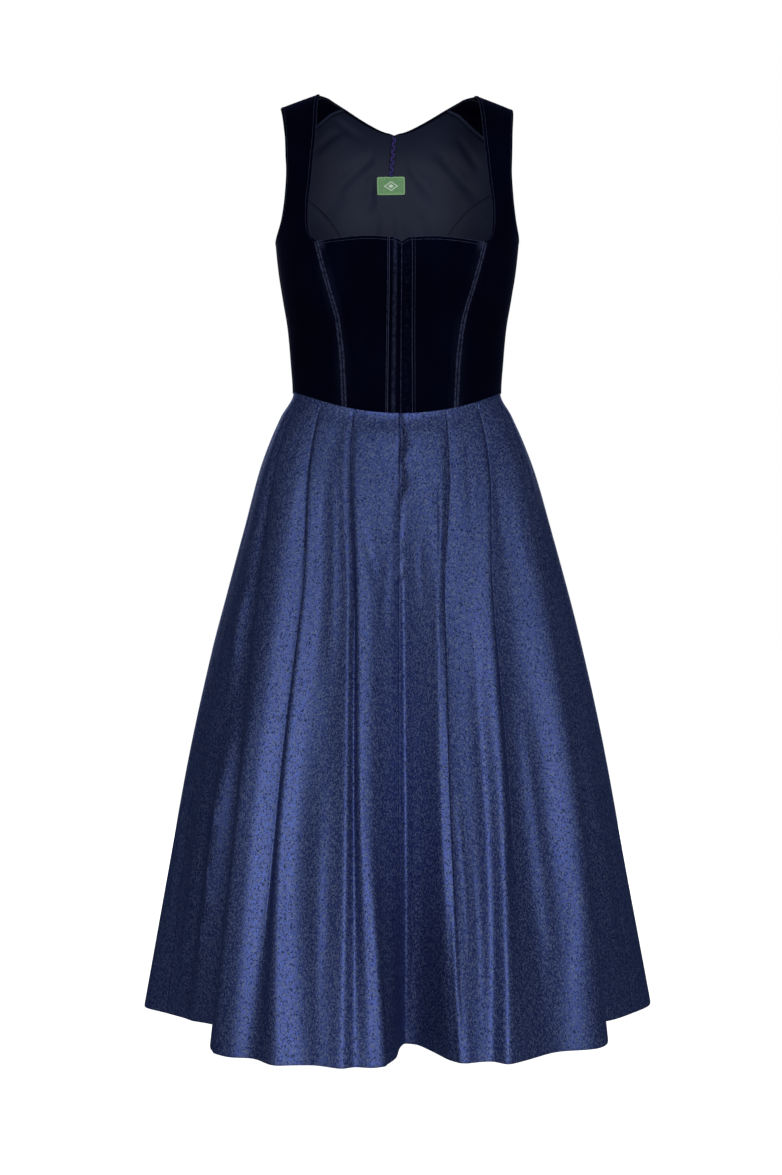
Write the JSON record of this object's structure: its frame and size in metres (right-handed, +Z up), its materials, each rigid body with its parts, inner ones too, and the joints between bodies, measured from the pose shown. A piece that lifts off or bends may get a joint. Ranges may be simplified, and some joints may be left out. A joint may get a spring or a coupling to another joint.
{
  "type": "dirndl dress",
  "caption": "Sleeveless velvet bodice with a square neckline, wide straps and a front closing, sewn to a calf-length pleated jacquard skirt, filled out and hollow; worn over a blouse",
  "frame": {"origin": "midway between the two shoulder straps, at the height where their tops rest on the shoulders", "axes": "+Z up along the dress, -Y the front with the closing, +X the wearer's left"},
  "size_m": [0.6538, 0.6461, 1.1638],
  "materials": {
    "velvet": "matte",
    "lining": "satin",
    "jacquard": "satin",
    "label_weave": "matte",
    "braid": "satin"
  },
  "bodies": {
    "root": {"front_centre_left": "velvet", "front_centre_right": "velvet", "front_side_left": "velvet", "front_side_right": "velvet", "back_centre_left": "velvet", "back_centre_right": "velvet", "back_side_left": "velvet", "back_side_right": "velvet", "shoulder_facing_left": "velvet", "shoulder_facing_right": "velvet", "lining_centre_left": "lining", "lining_centre_right": "lining", "lining_side_left": "lining", "lining_side_right": "lining", "label": "label_weave", "hanging_loop": "braid", "skirt_front_left": "jacquard", "skirt_front_right": "jacquard", "skirt_back_left": "jacquard", "skirt_back_right": "jacquard"}
  },
  "joints": []
}
